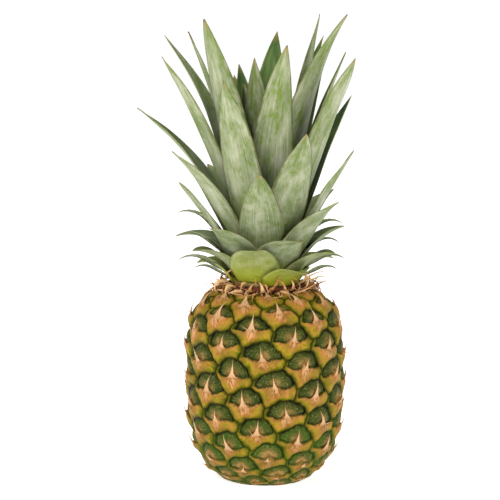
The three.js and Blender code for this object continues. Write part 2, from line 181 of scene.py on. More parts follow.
# %% Helpers for the materials
PLANT_IOR = 1.45
ADD = {"operation": "ADD", "use_clamp": True}
SUBTRACT = {"operation": "SUBTRACT", "use_clamp": True}
MULTIPLY = {"operation": "MULTIPLY", "use_clamp": True}


def colour(hex_value):
    parts = [int(hex_value[i:i + 2], 16) / 255 for i in (1, 3, 5)]
    return [c / 12.92 if c <= 0.04045 else ((c + 0.055) / 1.055) ** 2.4 for c in parts] + [1]


def add(tree, kind, inputs=None, out=0, stops=(), **settings):
    """Adds a node and returns one output. Inputs are sockets to link, numbers, vectors or hex colours."""
    node = tree.nodes.new("ShaderNode" + kind)
    for key, value in settings.items():
        setattr(node, key, value)
    for key, value in (inputs or {}).items():
        if isinstance(value, bpy.types.NodeSocket):
            tree.links.new(value, node.inputs[key])
        else:
            node.inputs[key].default_value = colour(value) if isinstance(value, str) else value
    for n, (place, shade) in enumerate(stops):
        ramp = node.color_ramp.elements
        element = ramp[n] if n < 2 else ramp.new(place)
        element.position = place
        element.color = colour(shade) if isinstance(shade, str) else (shade, shade, shade, 1)
    return node.outputs[out]


def new_material(name, roughness, gloss=0.5):
    material = bpy.data.materials.new(name)
    material.use_nodes = True
    shader = material.node_tree.nodes["Principled BSDF"]
    for key, value in (("Roughness", roughness), ("Specular IOR Level", gloss), ("IOR", PLANT_IOR)):
        shader.inputs[key].default_value = value
    return material, material.node_tree


def paint_over(tree, ground, *layers):
    """Lays colours over a ground. How much of each is there is one number or socket times another."""
    for amount, share, paint in layers:
        factor = add(tree, "Math", {0: amount, 1: share}, **MULTIPLY)
        ground = add(tree, "Mix", {"Factor": factor, 6: ground, 7: paint}, out=2, data_type="RGBA")
    return ground


def wear(material, skin, relief, depth_mm, *pieces):
    """Links a material's colour and fine relief, and puts it on the pieces."""
    tree = material.node_tree
    shader = tree.nodes["Principled BSDF"]
    tree.links.new(skin, shader.inputs["Base Color"])
    if depth_mm:
        normal = add(tree, "Bump", {"Height": relief, "Distance": depth_mm * MM, "Strength": 1.0})
        tree.links.new(normal, shader.inputs["Normal"])
    for piece in pieces:
        piece.data.materials.clear()
        piece.data.materials.append(material)
    print(material.name, "has", len(tree.nodes), "nodes and is on", len(pieces), "pieces")

# %% [markdown]
# ## The outline of the fruit
# The fruit is a barrel: two curves that meet where it is widest. Its eyes sit on one long spiral. To keep
# each eye's shape as the fruit narrows, heights are counted in climb: the length walked along the outline,
# each bit of it divided by the radius there. A real fruit's eyes shrink towards its ends in just this way.

# %% Outline and spiral
BODY_RADIUS = 58.4
WIDEST_Z = 88.0
TOP_REACH, TOP_RISE, TOP_ROUND = 60.5, 3.7, 2.5
BASE_REACH, BASE_RISE, BASE_ROUND = 96.0, 3.6, 2.05
NECK_Z = 144.5
EYE_TURN, EYE_CLIMB = 137.79, 0.0283
EYE_AZIMUTH, EYE_ZERO_Z = -1.8, 100.0
FIRST_EYE, LAST_EYE = -80, 46
# the curves stop just short of the poles, where they would be level
POLE_SHARE = 0.9995

walk = np.cos(np.linspace(np.pi, 0, 6001))
share = np.abs(walk) * POLE_SHARE
levels = WIDEST_Z + np.where(walk < 0, -BASE_REACH, TOP_REACH) * share
radii = BODY_RADIUS * np.where(
    walk < 0,
    (1 - share ** BASE_RISE) ** (1 / BASE_ROUND),
    (1 - share ** TOP_RISE) ** (1 / TOP_ROUND),
)
lengths = np.hypot(np.diff(levels), np.diff(radii))
climbs = np.concatenate([[0], np.cumsum(lengths / ((radii[1:] + radii[:-1]) / 2))])
zero_climb = np.interp(EYE_ZERO_Z, levels, climbs)
slope_r = np.gradient(radii)
slope_z = np.gradient(levels)
slope = np.hypot(slope_r, slope_z)


def turned(radius, azimuth, z):
    """Points at a radius and height, turned round the axis from the front."""
    return np.stack([radius * np.sin(azimuth), -radius * np.cos(azimuth), z], axis=-1)


def on_fruit(azimuth, climb, height):
    r = np.interp(climb, climbs, radii)
    z = np.interp(climb, climbs, levels)
    out_r = np.interp(climb, climbs, slope_z / slope)
    out_z = np.interp(climb, climbs, -slope_r / slope)
    return turned(r + out_r * height, azimuth, z + out_z * height)


def eye_place(k):
    return np.radians(EYE_AZIMUTH + k * EYE_TURN), zero_climb + k * EYE_CLIMB


def step_to(count):
    turn = math.radians(count * EYE_TURN)
    return (turn - 2 * math.pi * round(turn / (2 * math.pi))) * BODY_RADIUS, count * EYE_CLIMB * BODY_RADIUS


print("an eye and its neighbours, mm:", [tuple(round(v, 1) for v in step_to(n)) for n in (5, 8, 13)])

# %% [markdown]
# ## The relief of one eye
# Each eye is the dried rest of one flower. Its upper part is a dark mound like a pointed arch, made of the
# flower's hardened sepals. A bract covers its foot, and runs out in two wings between the neighbouring
# mounds. The barrel could be sculpted. As the pattern repeats, one flat tile of the spiral's grid is worked
# out instead, and every place on it looks for its mound and bract.

# %% Heights and marks on the tile
# the eyes that can reach into a tile, counted along the spiral
NEIGHBOURS = [0, 5, 8, 13, 21, -5, -8, -13, -21, 3, -3, 18, -18]
# a bract's cell is broader than tall by this share
CELL_BREADTH = 1.15
MOUND_HALF_WIDTH, MOUND_TALL, MOUND_HEIGHT = 13.2, 13.0, 3.3
ARCH_DEPTH, ARCH_SHOULDER = 11.5, 0.47
BRACT_HEIGHT, GROOVE = 3.4, -1.8
KEEL_HEIGHT, KEEL_WIDTH, KEEL_LENGTH = 1.3, 4.0, 4.5
# levels between which the eyes grow narrow at the neck, and broad at the base
NECK_EYES, BASE_EYES = (122, 136), (40, 12)
# how the pattern strays sideways and upwards: mm, waves round the fruit, waves up it, where they start
SIDE_WAVES = [(0.9, 7, 5, 0), (0.7, 17, -11, 2), (0.4, 41, 29, 0)]
RISE_WAVES = [(0.8, 6, -8, 1), (0.6, 19, 14, 0), (0.4, 37, -43, 0)]
FAR = 1e9

luck = random.Random(11)
eye_luck = {k: luck.random() for k in range(FIRST_EYE - 50, LAST_EYE + 51)}


def soft_step(low, high, value):
    t = np.clip((value - low) / (high - low), 0, 1)
    return t * t * (3 - 2 * t)


def bell(value, width):
    return np.exp(-((value / width) ** 2))


def waver(waves, azimuth, climb):
    """How far in mm the pattern strays, so that no two eyes are alike."""
    return sum(size * np.sin(turns * azimuth + rises * climb + start) for size, turns, rises, start in waves)


def under_arch(x, y, size=1):
    """How deep in mm a place lies below the arch of a mound, less than zero outside it."""
    breadth = (np.abs(x) / (MOUND_HALF_WIDTH * size)) ** 2
    tallness = (np.clip(y, 0, None) / (MOUND_TALL * size)) ** 2.2
    return (1 - (breadth + tallness) ** ARCH_SHOULDER) * ARCH_DEPTH


def eye_relief(k, across, up):
    """Height in mm and the marks that the colours follow, at places given in mm from eye k."""
    own_azimuth, own_climb = eye_place(k)
    here = own_azimuth + across / BODY_RADIUS, own_climb + up / BODY_RADIUS
    across, up = across + waver(SIDE_WAVES, *here), up + waver(RISE_WAVES, *here)
    # one row for each neighbour, one column for each place
    dx, dy = np.array([step_to(count) for count in NEIGHBOURS]).T
    x, y = across - dx[:, None], up - dy[:, None]
    chance = np.array([eye_luck[k + count] for count in NEIGHBOURS])[:, None]
    level = np.interp([eye_place(k + count)[1] for count in NEIGHBOURS], climbs, levels)[:, None]
    at_neck = soft_step(*NECK_EYES, level)
    size = (1 + 0.05 * soft_step(*BASE_EYES, level)) * (1 - 0.35 * at_neck)
    lean = (chance - 0.5) * 3
    below_arch = under_arch(x - lean * np.clip(y, 0, None) / MOUND_TALL, y, size)
    # the bract's upper edge: a point in the middle, and wings that rise to the sides
    over_edge = y - (0.1 + 3.6 * np.exp(-np.abs(x) / 1.8) + 1.6 * (np.abs(x) / 13) ** 2 + 2.5 * at_neck)
    inside = np.minimum(below_arch, over_edge)
    away = np.hypot(x / CELL_BREADTH, y)

    # each place lies on the mound that it is deepest in, or else on the bract whose middle is nearest
    each = np.arange(len(across))
    mound, bract = inside.argmax(axis=0), away.argmin(axis=0)
    mound_x, mound_y, mound_over = (values[mound, each] for values in (x, y, over_edge))
    bract_x, bract_y = x[bract, each], y[bract, each]
    deepest, bract_level = inside[mound, each], level[bract, 0]
    on_mound = deepest > 0
    on_bract = ~on_mound
    nearest, second = np.sort(away, axis=0)[:2]
    between = second - nearest
    own = np.arange(len(NEIGHBOURS))[:, None] == bract
    outside = np.where(own, np.where(over_edge < 0, FAR, -below_arch), -inside)
    to_rim = np.clip(outside, 0, None).min(axis=0)
    inward = np.minimum(between / 2 + 0.4, to_rim)
    neck, foot = soft_step(*NECK_EYES, bract_level), soft_step(*BASE_EYES, bract_level)

    # a mound swells from its rim, dips where the bract's edge crosses it, and is cleft down the middle
    rim_depth = np.clip(np.where(on_mound, under_arch(mound_x, mound_y), 0), 0, None)
    rise = MOUND_HEIGHT * (0.85 + 0.3 * chance[mound, 0]) * (1 - np.exp(-rim_depth / 2.7))
    rise = rise * (0.4 + 0.6 * soft_step(0, 3.2, mound_over)) * (1 - 0.25 * bell(mound_x, 1.8))
    # a bract swells from its seams, and has a keel in the middle
    swell = BRACT_HEIGHT * (1 - np.exp(-np.clip(inward, 0, None) / 2.0))
    swell = swell + KEEL_HEIGHT * bell(bract_x, KEEL_WIDTH) * bell(bract_y + 1.5, KEEL_LENGTH) * on_bract
    height = GROOVE + np.where(on_mound, rise, swell)

    wings = 0.34 * bell(bract_y - 0.4, 1.7) * soft_step(0.3, 1.6, inward)
    wings = (wings + 0.25 * soft_step(0.6, 4.0, inward)) * (1 - 0.45 * soft_step(6, 12, np.abs(bract_x)))
    middle = 0.85 * bell(bract_x, 4.8) * bell(bract_y + 1.8, 5.6)
    # painted shade: near black in the grooves round each mound, under the bract's edge where it crosses the
    # mound, and where bracts meet
    rim_groove_shade = bell(np.where(on_mound, rim_depth, -to_rim) + 0.15, 0.68)
    bract_edge_shadow = 0.9 * bell(mound_over - 0.4, 0.5) * on_mound * (1 - 0.8 * bell(mound_x, 2.4))
    bract_gap_shade = 0.8 * bell(between, 1.1) * on_bract
    bract_margin = 0.6 * (1 - soft_step(0.8, 3.8, inward)) + 0.4 * (1 - soft_step(0.2, 1.8, inward))
    x, y = np.where(on_mound, mound_x, bract_x), np.where(on_mound, mound_y, bract_y)
    marks = {
        "mound": soft_step(-0.35, 0.35, deepest),
        "groove_shade": rim_groove_shade + bract_edge_shadow + bract_gap_shade,
        "margin": np.where(on_mound, 0.6, bract_margin),
        "heart": bell(mound_x, 34 ** 0.5) * bell(mound_y - 3.5, 24 ** 0.5) * (1 + 0.5 * foot) + 0.15 * foot,
        "warm": np.maximum(middle, wings) * (1 - 0.25 * foot) + 0.06 * neck,
        "tone": chance[np.where(on_mound, mound, bract), 0],
        "low": soft_step(62, 18, bract_level),
        "fan": np.arctan2(x, 5.5 - y),
        "spoke": np.hypot(x, y - 5.5),
    }
    return height, marks


print("marks on the rind:", ", ".join(eye_relief(0, np.zeros(1), np.zeros(1))[1]))

# %% [markdown]
# ### The tile
# Eyes 8 and 13 steps on are an eye's nearest neighbours to the right and to the left. A square grid sheared
# to those two steps fits against its own copies on all four sides without a gap.

# %% One sheared tile
TILE_CUTS = 27
right, left = step_to(8), step_to(13)
select_only()
bpy.ops.mesh.primitive_grid_add(x_subdivisions=TILE_CUTS, y_subdivisions=TILE_CUTS, size=1)
grid, quads = taken(bpy.context.object)
tile_across = grid[:, 0] * right[0] + grid[:, 1] * left[0]
tile_up = grid[:, 0] * right[1] + grid[:, 1] * left[1]
print("one eye's tile has", len(quads), "faces")

# %% [markdown]
# ### The skin
# The tile is copied to every eye and wrapped on the barrel. The copies meet edge to edge, so merging the
# doubled points makes one skin. A barrel could be displaced instead, but its mesh would not run with the
# spirals. The two ends are cut level with the bisect tool.

# %% Wrap the tiles into one rind
# the relief fades down to the resting ring, and is lower where the fruit is narrow
FLAT_SHARE, RELIEF_FULL_Z, NARROW_POWER = 0.25, 10, 0.6
tiles = []
for k in range(FIRST_EYE - 18, LAST_EYE + 17):
    azimuth, climb = eye_place(k)
    height, marks = eye_relief(k, tile_across, tile_up)
    at = climb + tile_up / BODY_RADIUS
    local = np.interp(at, climbs, radii) / BODY_RADIUS
    height *= FLAT_SHARE + (1 - FLAT_SHARE) * soft_step(0, RELIEF_FULL_Z, np.interp(at, climbs, levels))
    height *= local ** NARROW_POWER
    tiles.append((on_fruit(azimuth + tile_across / BODY_RADIUS, at, height), marks))
rind = make_piece("rind", *joined(tiles, quads), merge=0.02)
bpy.ops.object.mode_set(mode="EDIT")
bpy.ops.mesh.select_all(action="SELECT")
bpy.ops.mesh.bisect(plane_co=(0, 0, 0), plane_no=(0, 0, 1), clear_inner=True, threshold=1e-6)
bpy.ops.mesh.select_all(action="SELECT")
bpy.ops.mesh.bisect(plane_co=(0, 0, NECK_Z * MM), plane_no=(0, 0, 1), clear_outer=True, threshold=1e-6)
bpy.ops.object.mode_set(mode="OBJECT")
print("rind points:", len(rind.data.vertices))

# %% [markdown]
# ### The two ends
# A pineapple stands on the ring of its lowest eyes, round a hollow with the cut stalk in it. So the lower
# rim is extruded inwards and then up into the hollow, as one would by hand. The upper rim is drawn in and
# closed under the neck.

# %% Draw in the rims
# radius and height of each ring, in mm
BASE_RINGS = [(25, 0), (16, 4), (14.5, 9.3)]
NECK_RINGS = [(26, NECK_Z)]
HOLLOW_HEIGHT, HOLLOW_RADIUS = 10, 25.5
HOLLOW_MARKS = {"mound": 0.0, "groove_shade": 0.2, "warm": 0.55, "margin": 0.0}


def draw_in(piece, level, rings):
    """Extrudes the open rim at a level to each (radius, height) in turn, and closes the last one."""
    select_only(piece)
    bpy.ops.object.mode_set(mode="EDIT")
    bpy.ops.mesh.select_mode(type="EDGE")
    bpy.ops.mesh.select_all(action="DESELECT")
    bpy.ops.mesh.select_non_manifold(
        extend=False, use_wire=False, use_multi_face=False, use_non_contiguous=False, use_verts=False)
    bpy.ops.object.mode_set(mode="OBJECT")
    data = piece.data
    for edge in data.edges:
        ends = [data.vertices[i].co.z for i in edge.vertices]
        edge.select = edge.select and all(abs(z - level) < 0.05 * MM for z in ends)
    keep = {i for edge in data.edges if edge.select for i in edge.vertices}
    for vertex in data.vertices:
        vertex.select = vertex.index in keep
    for radius, height in rings:
        bpy.ops.object.mode_set(mode="EDIT")
        bpy.ops.mesh.extrude_edges_move()
        bpy.ops.object.mode_set(mode="OBJECT")
        for vertex in data.vertices:
            if vertex.select:
                flat = vertex.co.xy.normalized() * radius * MM
                vertex.co = (flat.x, flat.y, height * MM)
    bpy.ops.object.mode_set(mode="EDIT")
    bpy.ops.mesh.edge_face_add()
    bpy.ops.object.mode_set(mode="OBJECT")


draw_in(rind, 0, BASE_RINGS)
draw_in(rind, NECK_Z * MM, NECK_RINGS)
# the skin round the stalk is dry and brown, with a little painted groove shade
round_stalk = [v.index for v in rind.data.vertices
               if v.co.z < HOLLOW_HEIGHT * MM and v.co.xy.length < HOLLOW_RADIUS * MM]
for name, value in HOLLOW_MARKS.items():
    for i in round_stalk:
        rind.data.attributes[name].data[i].value = value
select_only(rind)
bpy.ops.object.mode_set(mode="EDIT")
bpy.ops.mesh.select_all(action="SELECT")
bpy.ops.mesh.normals_make_consistent(inside=False)
bpy.ops.object.mode_set(mode="OBJECT")
bpy.ops.object.shade_smooth()
belongs(rind, "rind", "fruit")
rind.data.calc_loop_triangles()
print("rind, mm:", [round(v / MM, 1) for v in rind.dimensions], "triangles:", len(rind.data.loop_triangles))

# %% [markdown]
# ## The dry points of the bracts
# From the middle of each bract a dry, cream-coloured point rises over its mound. It is flat and broad at
# the foot, and many are bent, curled or broken. One is modelled from a cone, and each copy gets its own
# bend.

# %% Model one point
CUTS = (0.12, 0.28, 0.46, 0.64, 0.82)
select_only()
bpy.ops.mesh.primitive_cone_add(
    vertices=8, radius1=0.5, radius2=0.03, depth=1, location=(0, 0, 0.5), end_fill_type="NGON")
bpy.ops.object.mode_set(mode="EDIT")
for height in CUTS:
    bpy.ops.mesh.select_all(action="SELECT")
    bpy.ops.mesh.bisect(plane_co=(0, 0, height), plane_no=(0, 0, 1))
bpy.ops.object.mode_set(mode="OBJECT")
cone_points, cone_faces = taken(bpy.context.object)
cone_points += [0, 0, 0.5]
# the cuts leave the cone inside out
cone_faces = [face[::-1] for face in cone_faces]
print("one dry point has", len(cone_faces), "faces")

# %% [markdown]
# ### A point on every bract
# The flat cone is laid on each bract's middle, and reaches up over the mound. A sine curve lifts it clear,
# and random shares decide its length, its lean, how far it curls away and whether it broke off. The ones at
# the neck are longer, as on the real fruit.

# %% Copy it to every bract
POINT_LENGTH, POINT_WIDTH, POINT_THICKNESS = 16.0, 9.5, 2.4
LOWEST_POINT_Z, SHORT_BELOW_Z, NECK_POINTS = 5, 25, (118, 138)
BROKEN_SHARE = 0.07
copies = []
bract_luck = random.Random(5)
for k in range(FIRST_EYE, LAST_EYE + 1):
    azimuth, climb = eye_place(k)
    z = np.interp(climb, climbs, levels)
    lean, curl, size, break_off = (bract_luck.random() for _ in range(4))
    if z < LOWEST_POINT_Z or z > NECK_Z - 1:
        continue
    local = np.interp(climb, climbs, radii) / BODY_RADIUS
    near_neck = float(soft_step(*NECK_POINTS, z))
    length = POINT_LENGTH * (0.8 + 0.35 * size) * (1 + 0.6 * near_neck)
    length *= (0.5 if break_off > 1 - BROKEN_SHARE else 1) * (0.8 if z < SHORT_BELOW_Z else 1)
    up = cone_points[:, 2]
    taper = (1 - up) ** 0.5 * (0.2 + 0.8 * np.exp(-up * 4.5))
    x = cone_points[:, 0] * POINT_WIDTH * taper * (0.85 + 0.3 * size) * (1 + 0.5 * near_neck)
    depth = cone_points[:, 1] * POINT_THICKNESS * taper ** 0.5
    tilt = (lean - 0.5) * 1.4
    x = x + tilt * length * up ** 1.3 * 0.6 + 0.5 * np.sin(up * 5 + lean * 9) * up
    curl_away = (0.6 + 1.6 * curl) * (1 - 0.5 * near_neck) * up ** 3
    lift = 1.3 + 1.8 * np.sin(np.pi * np.clip(up, 0, 0.75)) + curl_away
    y = -0.9 + length * up * (1 - 0.1 * curl * up)
    lift = (lift + depth) * (0.4 + 0.6 * local)
    copies.append((on_fruit(azimuth + x / BODY_RADIUS, climb + y / BODY_RADIUS, lift), {"along": up}))
bract_points = make_piece("bract_points", *joined(copies, cone_faces), merge=0.03)
belongs(bract_points, "rind")
print("dry points:", len(copies))

# %% [markdown]
# ### Threads
# Thin dry threads stick out beside the points, and show best along the fruit's sides. Hair curves could
# draw them, but would not be meshes. A narrow strip is enough for each, rolled up along a circle of its
# own.

# %% Model one thread
select_only()
bpy.ops.mesh.primitive_grid_add(x_subdivisions=2, y_subdivisions=12, size=2)
strip_grid, strip_quads = taken(bpy.context.object)
strip_side, strip_along = strip_grid[:, 0], (strip_grid[:, 1] + 1) / 2
strip_rim = np.where((np.abs(strip_side) > 0.99) | (strip_along < 0.01) | (strip_along > 0.99))[0]


def both_sides(quads, side, along):
    """The faces of a thin sheet: a grid and the same one turned over. A corner point would double a face."""
    corners = set(np.where((np.abs(side) > 0.99) & ((along < 0.01) | (along > 0.99)))[0])
    front = [tuple(i for i in quad if i not in corners) for quad in quads]
    return front + shifted([face[::-1] for face in front], len(side))


def close_rim(sheets, rim):
    sheets[0][rim] = sheets[1][rim] = (sheets[0][rim] + sheets[1][rim]) / 2
    return np.concatenate(sheets)


def bent_line(angles, length, out=0, up=0):
    """How far out and up a line gets whose equal parts each have their own angle from upright."""
    part = length / len(angles)
    return [start + np.concatenate([[0], np.cumsum(along_axis(angles) * part)])
            for along_axis, start in ((np.sin, out), (np.cos, up))]


strip_faces = both_sides(strip_quads, strip_side, strip_along)
print("one strip has", len(strip_faces), "faces")

# %% [markdown]
# ### Threads on the eyes
# Up to two threads grow beside each point. Each has a random length, heading and roll. None goes down
# through the floor.

# %% Scatter the threads
THREADS_AN_EYE, THREAD_CHANCE = 2, 0.8
THREAD_ROOT_LIFT, MOST_THREAD_LIFT, HALF_THREAD_THICKNESS = 1.4, 6, 0.14
LINE_STEPS = 40
thread_luck = random.Random(8)
copies = []
for k in range(FIRST_EYE, LAST_EYE + 1):
    azimuth, climb = eye_place(k)
    z = float(np.interp(climb, climbs, levels))
    for _ in range(THREADS_AN_EYE):
        a, b, c, d, e = (thread_luck.random() for _ in range(5))
        if z < 8 or z > NECK_Z - 4 or e > THREAD_CHANCE:
            continue
        length, roll = 5 + 6 * a, (b - 0.35) * 5.5
        heading = (c - 0.5) * 2.4
        reach = np.linspace(0, 1, LINE_STEPS + 1)
        out_line, run_line = bent_line(0.5 + roll * reach[1:], length)
        out = np.interp(strip_along, reach, out_line)
        run = np.interp(strip_along, reach, run_line)
        half = (0.55 + 0.5 * d) / 2 * (1 - 0.8 * strip_along)
        x = (d - 0.5) * 6 + run * math.sin(heading) + strip_side * half * math.cos(heading)
        y = -0.5 + run * math.cos(heading) - strip_side * half * math.sin(heading)
        lift = np.clip(THREAD_ROOT_LIFT + out, 0.4, MOST_THREAD_LIFT)
        thick = HALF_THREAD_THICKNESS * (np.abs(strip_side) < 0.5)
        sheets = [on_fruit(azimuth + x / BODY_RADIUS, climb + y / BODY_RADIUS, lift + face * thick)
                  for face in (1, -1)]
        copies.append((close_rim(sheets, strip_rim), {"along": 0.25 + 0.75 * np.tile(strip_along, 2)}))
points, faces, marks = joined(copies, strip_faces)
points[:, 2] = np.maximum(points[:, 2], 0.1)
bract_threads = make_piece("bract_threads", points, faces, marks)
belongs(bract_threads, "rind")
print("threads:", len(copies))

# %% [markdown]
# ## The crown
# The leaves stand on the crown's stem in a spiral too. Each leaf is a patch of a bell round the axis, one
# bell inside the next, which is how real crown leaves hold each other. A flat blade is modelled once from a
# grid and wrapped on each leaf's own bell, with its own length, lean and bend, and the edges of each are
# folded up a little.

# %% Where the leaves grow
STEM_FOOT, STEM_BOTTOM, STEM_WAIST, STEM_TOP = NECK_Z + 0.3, 26.5, 12.2, 2.4
STEM_WAIST_HEIGHT, STEM_HEIGHT = 38.0, 51.0
LEAF_COUNT, LEAF_TURN, LEAF_AZIMUTH = 54, -137.508, 35.1
LOWEST_LEAF_Z, HIGHEST_LEAF_Z = NECK_Z + 5.4, NECK_Z + 49
LEAF_SEED, ROOT_WIDTH, TIP_FULLNESS, MOST_WRAP, BEND_POWER = 7, 0.84, 2.1, 0.7, 1.6
EDGE_THICKNESS, RIB_THICKNESS = 0.7, 1.3
# share of the way up, then length and width in mm, lean and bend in degrees, and where it is widest
LEAF_STAGES = [
    (0.00, 31, 43, 33, 84, 0.18),
    (0.15, 46, 42, 31, 66, 0.18),
    (0.25, 62, 38, 29, 46, 0.20),
    (0.33, 92, 35, 26, 32, 0.24),
    (0.40, 120, 32, 22, 26, 0.28),
    (0.46, 146, 31, 18, 23, 0.32),
    (0.56, 168, 30, 13, 19, 0.34),
    (0.66, 166, 28, 9, 16, 0.35),
    (0.74, 146, 27, 7, 12, 0.35),
    (0.85, 112, 25, 5, 9, 0.36),
    (1.00, 76, 21, 2, 6, 0.36),
]
# leaves whose tips can be told apart in the photo: stretched, bent further, swayed aside, widened
LEAF_HABITS = {
    2: (1, 0, 15, 1), 3: (1, 0, -20, 1), 4: (1.3, -44, 10, 1),
    9: (1.3, -22, 8, 1), 10: (1.15, 0, 25, 1), 11: (1, -14, -18, 1),
    12: (1, -10, 0, 1), 14: (1.18, -24, 8, 1), 15: (1.2, -30, 22, 1),
    17: (1.16, -18, 0, 1), 19: (1.06, -22, -6, 1), 20: (1.04, -4, 0, 1),
    22: (1, 0, -6, 1.12), 23: (1.14, 4, 32, 1), 24: (0.97, -14, 0, 1.1),
    25: (1.09, 0, 3, 1.06), 27: (1.12, 0, -12, 1.1), 28: (1.04, 0, 14, 1.2),
    29: (0.94, 0, 0, 1), 30: (1.05, 0, 3, 1.1), 31: (1.02, 0, 40, 1),
    32: (0.9, -4, 0, 1), 33: (1.13, 0, 12, 1.22), 34: (1, 0, -8, 1.2),
    35: (1.1, 3, 16, 1.08), 36: (0.97, 0, 15, 1), 38: (0.92, 0, 0, 1),
    39: (0.86, 0, 0, 1), 40: (1.2, -5, -14, 1), 41: (1.1, 0, 0, 1),
}
# two of the long leaves keep most of their pale bloom on the inner face too
INNER_BLOOM = {23: 0.5, 31: 0.2}


def stem_radius(z):
    heights, stem_radii = (0, STEM_WAIST_HEIGHT, STEM_HEIGHT), (STEM_BOTTOM, STEM_WAIST, STEM_TOP)
    return float(np.interp(z - STEM_FOOT, heights, stem_radii))


def leaf_draws(number):
    """The two random draws of a leaf, by the same rule as its solid."""
    state = float((LEAF_SEED + number) * 7919 + 17)
    draws = []
    for _ in range(2):
        state = math.fmod(state * 1103515245 + 12345, 2147483648)
        draws.append(state / 2147483648)
    return draws


print("stem radius, mm:", [round(stem_radius(z), 1) for z in (LOWEST_LEAF_Z, HIGHEST_LEAF_Z)])

# %% [markdown]
# ### The blade
# A leaf is a long channel that narrows to a point, with a thick middle and thin edges. A flat grid of two
# units a side stands for all of them: its x runs from edge to edge, and its y from root to tip.

# %% The flat blade
COLUMNS, ROWS = 12, 40
select_only()
bpy.ops.mesh.primitive_grid_add(x_subdivisions=COLUMNS, y_subdivisions=ROWS, size=2)
blade_grid, blade_quads = taken(bpy.context.object)
side = blade_grid[:, 0]
along = (blade_grid[:, 1] + 1) / 2
rim = np.where((np.abs(side) > 0.999) | (along < 0.001) | (along > 0.999))[0]
blade_faces = both_sides(blade_quads, side, along)
print("a blade has", len(blade_quads), "faces a side")

# %% [markdown]
# ### Wrapping a blade
# The line of a leaf leaves the stem with its lean, and bends more and more. Turned round the axis it sweeps
# the bell that the blade lies on, so neighbours nest. The edges fold up towards the tip, and wave a little.
# It could be bent with curves and modifiers too, but then leaves would cut each other.

# %% Wrap a blade on its bell
# the blade stays a little short of its solid's tip
TIP_SHARE, ROW_POWER = 0.994, 1.1
THINNEST_HALF = 0.25
FOLD_DEPTH, FOLD_FROM = 0.28, (0.25, 0.9)
WAVE_FROM, WAVE_LENGTH = (0.3, 0.8), 100
LINE_PARTS = 400


def leaf_shape(number):
    stage_share = number / (LEAF_COUNT - 1)
    stages = np.array(LEAF_STAGES).T
    length, width, lean, bend, widest = (np.interp(stage_share, stages[0], row) for row in stages[1:])
    stretch, more_bend, sway, widen = LEAF_HABITS.get(number + 1, (1, 0, 0, 1))
    first, second = leaf_draws(number)
    reach = length
    length, width, bend = length * stretch * (0.97 + 0.06 * first), width * widen, bend + more_bend
    sway = sway + (-4 + 8 * second)
    z0 = LOWEST_LEAF_Z + (HIGHEST_LEAF_Z - LOWEST_LEAF_Z) * stage_share
    r0 = stem_radius(z0) + 0.3 + RIB_THICKNESS / 2 + 0.2
    fine = np.linspace(0, 1, LINE_PARTS + 1)
    middle = (fine[1:] + fine[:-1]) / 2 * length
    angle = np.radians(lean + bend * (middle / reach) ** BEND_POWER)
    r_line, z_line = bent_line(angle, length, r0, z0)
    u = TIP_SHARE * along ** ROW_POWER
    r = np.interp(u, fine, r_line)
    z = np.interp(u, fine, z_line)
    tilt = np.radians(lean + bend * (u * length / reach) ** BEND_POWER)
    past = np.clip((u - widest) / (1 - widest), 0, 1)
    from_root = ROOT_WIDTH + (1 - ROOT_WIDTH) * np.sin(np.pi / 2 * np.clip(u / widest, 0, 1))
    shape = np.where(u > widest, 1 - past ** TIP_FULLNESS, from_root)
    half = np.maximum(np.minimum(width / 2 * shape, MOST_WRAP * r), THINNEST_HALF)
    azimuth = np.radians(LEAF_AZIMUTH + number * LEAF_TURN + sway * u * u)
    angle_at = azimuth + side * half / r
    fold = soft_step(*FOLD_FROM, u) * half * FOLD_DEPTH * (np.abs(side) ** 1.5 - 0.35)
    wave_luck = random.Random(number)
    phase = [wave_luck.random() * 6.28 for _ in range(2)]
    wave = np.sin(u * 9 + phase[0] + side) * 0.5 + np.sin(u * 17 + phase[1] - side * 2) * 0.25
    wave = wave * soft_step(*WAVE_FROM, u) * np.abs(side) * min(1, length / WAVE_LENGTH)
    rib_share = (1 - np.abs(side)) * (1 - u)
    thick = RIB_THICKNESS * rib_share + EDGE_THICKNESS * (1 - rib_share)
    thick = thick * (1 - 0.55 * np.abs(side) ** 3)
    sheets = []
    for face in (1, -1):
        push = face * thick / 2 - fold + wave
        sheets.append(turned(r + np.cos(tilt) * push, angle_at, z - np.sin(tilt) * push))
    return close_rim(sheets, rim), u


def leaf_piece(number):
    points, u = leaf_shape(number)
    marks = {
        "across": np.tile(side, 2),
        "along": np.tile(u, 2),
        "inner": np.repeat([0.0, INNER_BLOOM.get(number + 1, 1.0)], len(u)),
        "tone": random.Random(number * 3 + 1).random(),
        "height": number / (LEAF_COUNT - 1),
    }
    piece = make_piece(f"leaf_{number + 1:02d}_blade", *joined([(points, marks)], blade_faces))
    belongs(piece, "leaf", f"leaf_{number + 1:02d}")
    return piece


leaves = [leaf_piece(number) for number in range(LEAF_COUNT)]
print("leaves:", len(leaves))

# %% [markdown]
# ## The dry bracts round the neck
# Between the fruit and the crown the topmost bracts have dried to thin brown and tan curls. Each is a
# narrow ribbon that leaves the neck outwards, and then rolls up, down or sideways. A flat strip is modelled
# once, and each copy is bent along its own curve.

# %% One curled ribbon
HALF_HUSK_THICKNESS, CURVE_PARTS = 0.17, 60


